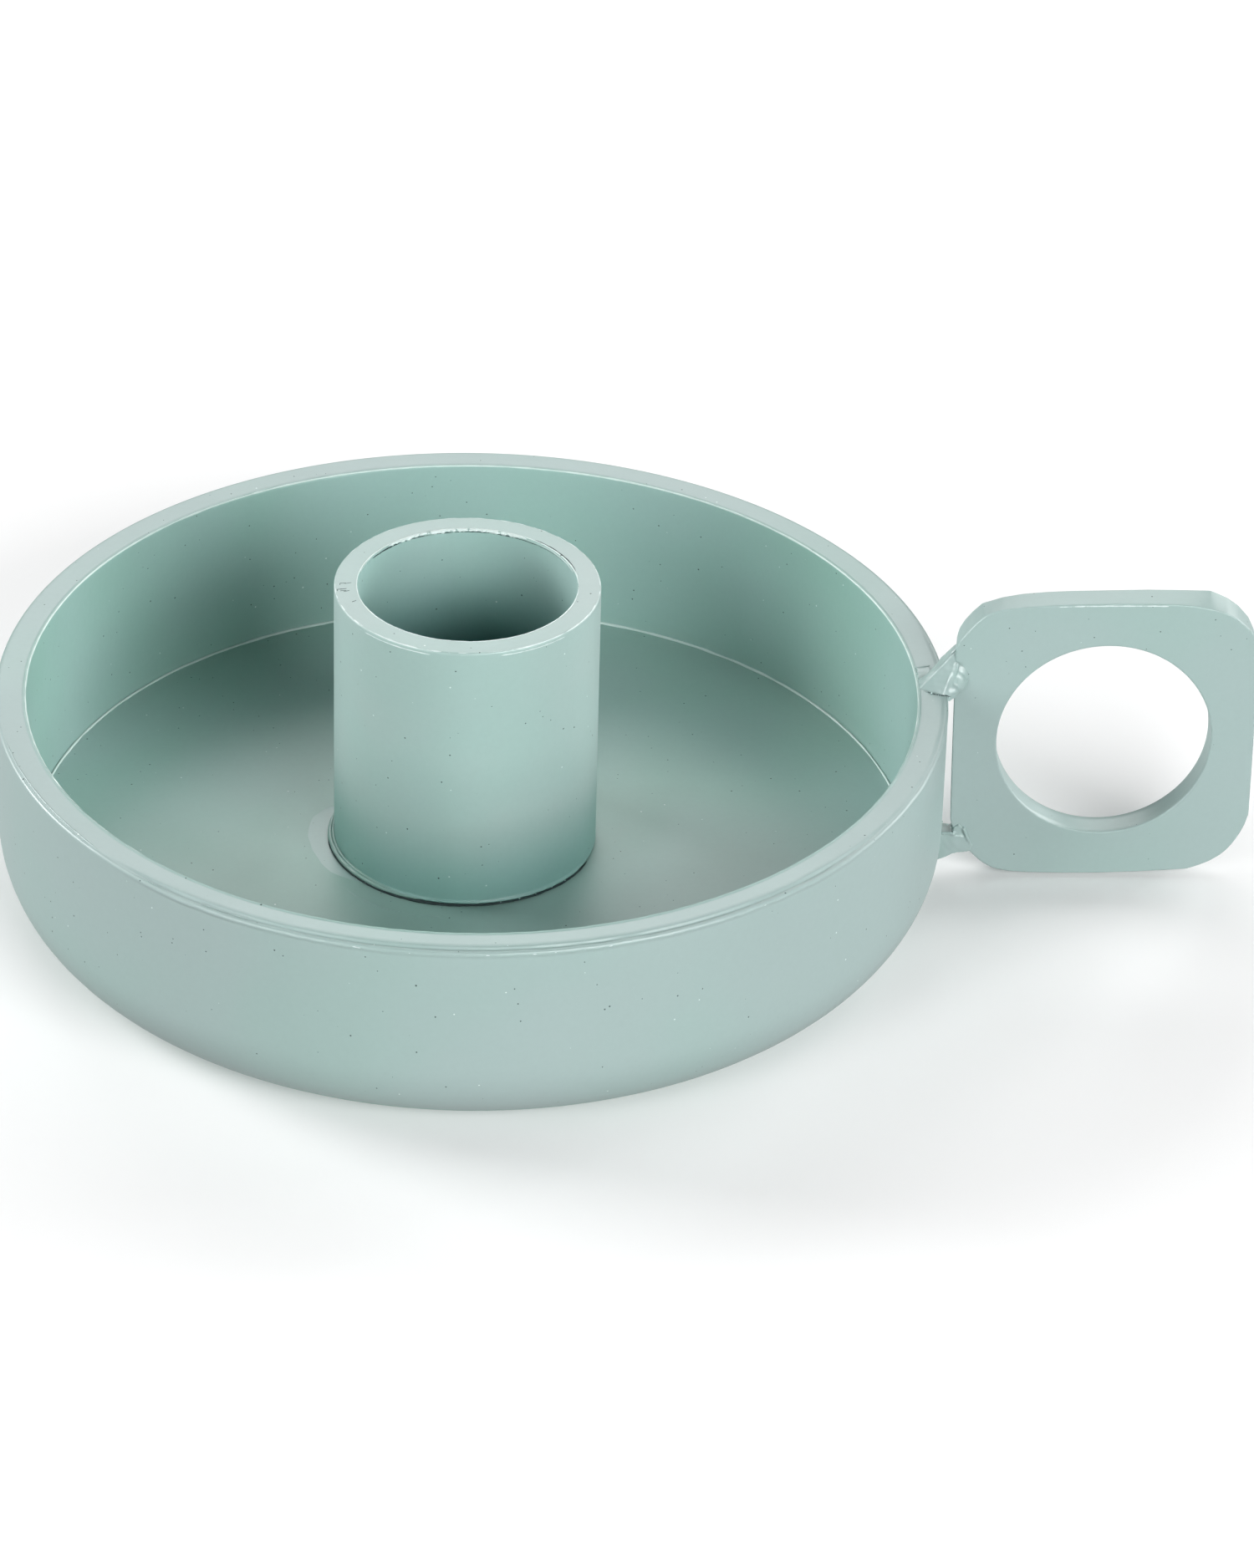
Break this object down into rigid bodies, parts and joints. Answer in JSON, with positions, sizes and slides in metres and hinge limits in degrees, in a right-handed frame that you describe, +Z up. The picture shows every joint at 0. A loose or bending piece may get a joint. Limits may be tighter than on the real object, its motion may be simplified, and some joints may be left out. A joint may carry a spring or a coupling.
{
  "type": "chamberstick",
  "caption": "Round steel drip dish with a pipe candle socket standing on its floor and a square plate with a finger hole welded to its side, painted sage green.",
  "frame": {"origin": "on the table, at the middle of the dish's underside", "axes": "+Z up along the dish and out of the candle socket, +X from the dish towards the finger plate, -Y towards the plate's front"},
  "size_m": [0.1277, 0.096, 0.0345],
  "materials": {
    "painted_steel": "satin"
  },
  "bodies": {
    "root": {"dish": "painted_steel", "candle_tube": "painted_steel", "finger_plate": "painted_steel", "rim_weld": "painted_steel", "wall_weld": "painted_steel", "tube_foot_weld": "painted_steel"}
  },
  "joints": []
}
